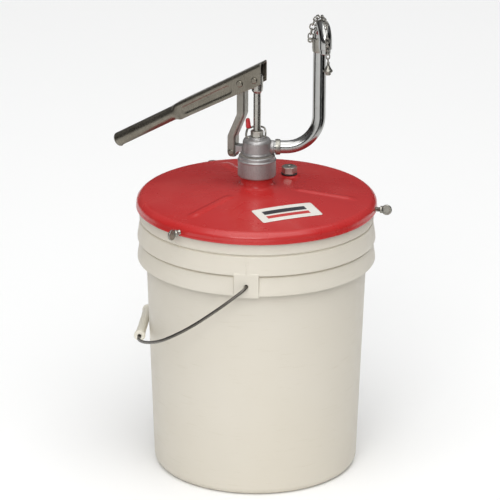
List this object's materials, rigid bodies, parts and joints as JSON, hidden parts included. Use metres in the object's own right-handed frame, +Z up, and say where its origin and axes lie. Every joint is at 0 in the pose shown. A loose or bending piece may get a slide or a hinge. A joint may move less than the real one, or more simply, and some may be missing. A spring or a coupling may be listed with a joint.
{
  "type": "hand lever bucket pump",
  "caption": "Hand lever pump with hooked spout on a clamped lid, drawing gear oil from a lidded plastic pail with a wire bail.",
  "frame": {"origin": "centre of the pail's flat bottom face", "axes": "+Z up along the pump rod; the bail ears stand on the Y axis; the lever's grip points towards -X"},
  "size_m": [0.3653, 0.3398, 0.6045],
  "materials": {
    "pail_plastic": "satin",
    "red_paint": "gloss",
    "casting": "satin",
    "zinc": "satin",
    "chrome": "polished",
    "steel": "satin",
    "brass": "satin",
    "rubber": "matte",
    "grip_plastic": "satin",
    "red_vinyl": "satin",
    "label": "satin"
  },
  "bodies": {
    "pail": {"pail": "pail_plastic"},
    "bail": {"bail_wire": "steel"},
    "bail_grip": {"bail_grip": "grip_plastic"},
    "cover": {"cover": "red_paint", "cover_gasket": "rubber", "label_plate": "label", "head_base": "casting", "head_gasket": "rubber", "pump_head": "casting", "gland_packing": "rubber", "gland_nut": "zinc", "mounting_washer": "zinc", "mounting_nut": "zinc", "outlet_nut": "zinc", "delivery_pipe": "chrome", "nozzle_tip": "chrome", "chain_collar": "zinc", "chain_drape": "zinc", "pump_cylinder": "steel", "foot_valve": "casting", "ball_stop_pin": "steel"},
    "thumb_screw_1": {"thumb_screw_1": "zinc"},
    "thumb_screw_2": {"thumb_screw_2": "zinc"},
    "thumb_screw_3": {"thumb_screw_3": "zinc"},
    "fill_plug": {"fill_plug": "zinc", "fill_plug_washer": "rubber"},
    "link": {"link": "zinc", "link_pin": "steel", "link_clip": "steel"},
    "lever": {"lever": "zinc", "fulcrum_pin": "steel", "fulcrum_clip": "steel"},
    "rod": {"pump_rod": "steel", "rod_pin": "steel", "rod_pin_clip": "steel", "piston": "brass", "piston_cup": "rubber", "piston_yoke": "brass"},
    "piston_ball": {"piston_ball": "steel"},
    "foot_ball": {"foot_ball": "steel"},
    "rod_catch": {"latch_wire": "steel", "latch_sleeve": "red_vinyl"},
    "nozzle_plug": {"chain_tail": "zinc", "nozzle_plug": "zinc"}
  },
  "joints": [
    {"name": "bail_swing", "type": "hinge", "parent": "pail", "child": "bail", "pos_m": [0, 0, 0.293], "axis": [0, 1, 0], "range_deg": [0, 85]},
    {"name": "bail_grip_spin", "type": "hinge", "parent": "bail", "child": "bail_grip", "pos_m": [-0.14656, 0, 0.18175], "axis": [0, 1, 0], "continuous": true},
    {"name": "cover_lift", "type": "slide", "parent": "pail", "child": "cover", "axis": [0, 0, 1], "range_m": [0, 0.36]},
    {"name": "thumb_screw_1_out", "type": "slide", "parent": "cover", "child": "thumb_screw_1", "axis": [0.9949, -0.1011, 0], "range_m": [0, 0.004]},
    {"name": "thumb_screw_2_out", "type": "slide", "parent": "cover", "child": "thumb_screw_2", "axis": [-0.4226, 0.9063, 0], "range_m": [0, 0.004]},
    {"name": "thumb_screw_3_out", "type": "slide", "parent": "cover", "child": "thumb_screw_3", "axis": [-0.5592, -0.829, 0], "range_m": [0, 0.004]},
    {"name": "fill_plug_out", "type": "slide", "parent": "cover", "child": "fill_plug", "axis": [0, 0, 1], "range_m": [0, 0.016]},
    {"name": "link_swing", "type": "hinge", "parent": "cover", "child": "link", "pos_m": [-0.03084, 0.00961, 0.418], "axis": [0.2974, 0.9548, 0], "range_deg": [0, 2]},
    {"name": "lever_swing", "type": "hinge", "parent": "link", "child": "lever", "pos_m": [-0.01881, 0.00586, 0.5114], "axis": [0.2974, 0.9548, 0], "range_deg": [0, 58]},
    {"name": "rod_slide", "type": "slide", "parent": "cover", "child": "rod", "axis": [0, 0, 1], "range_m": [-0.0201, 0]},
    {"name": "piston_ball_lift", "type": "slide", "parent": "rod", "child": "piston_ball", "axis": [0, 0, 1], "range_m": [0, 0.004]},
    {"name": "foot_ball_lift", "type": "slide", "parent": "cover", "child": "foot_ball", "axis": [0, 0, 1], "range_m": [0, 0.005]},
    {"name": "rod_catch_swing", "type": "hinge", "parent": "cover", "child": "rod_catch", "pos_m": [0, 0, 0.4394], "axis": [-0.9966, -0.0819, 0], "range_deg": [0, 9]},
    {"name": "nozzle_plug_swing", "type": "hinge", "parent": "cover", "child": "nozzle_plug", "pos_m": [0.09002, -0.03926, 0.591], "axis": [-0.9673, -0.2538, 0], "range_deg": [0, 60]}
  ],
  "couplings": [
    {"joint": "link_swing", "follows": "lever_swing", "ratio": 0.0307},
    {"joint": "rod_slide", "follows": "lever_swing", "m_per_rad": -0.0196}
  ]
}
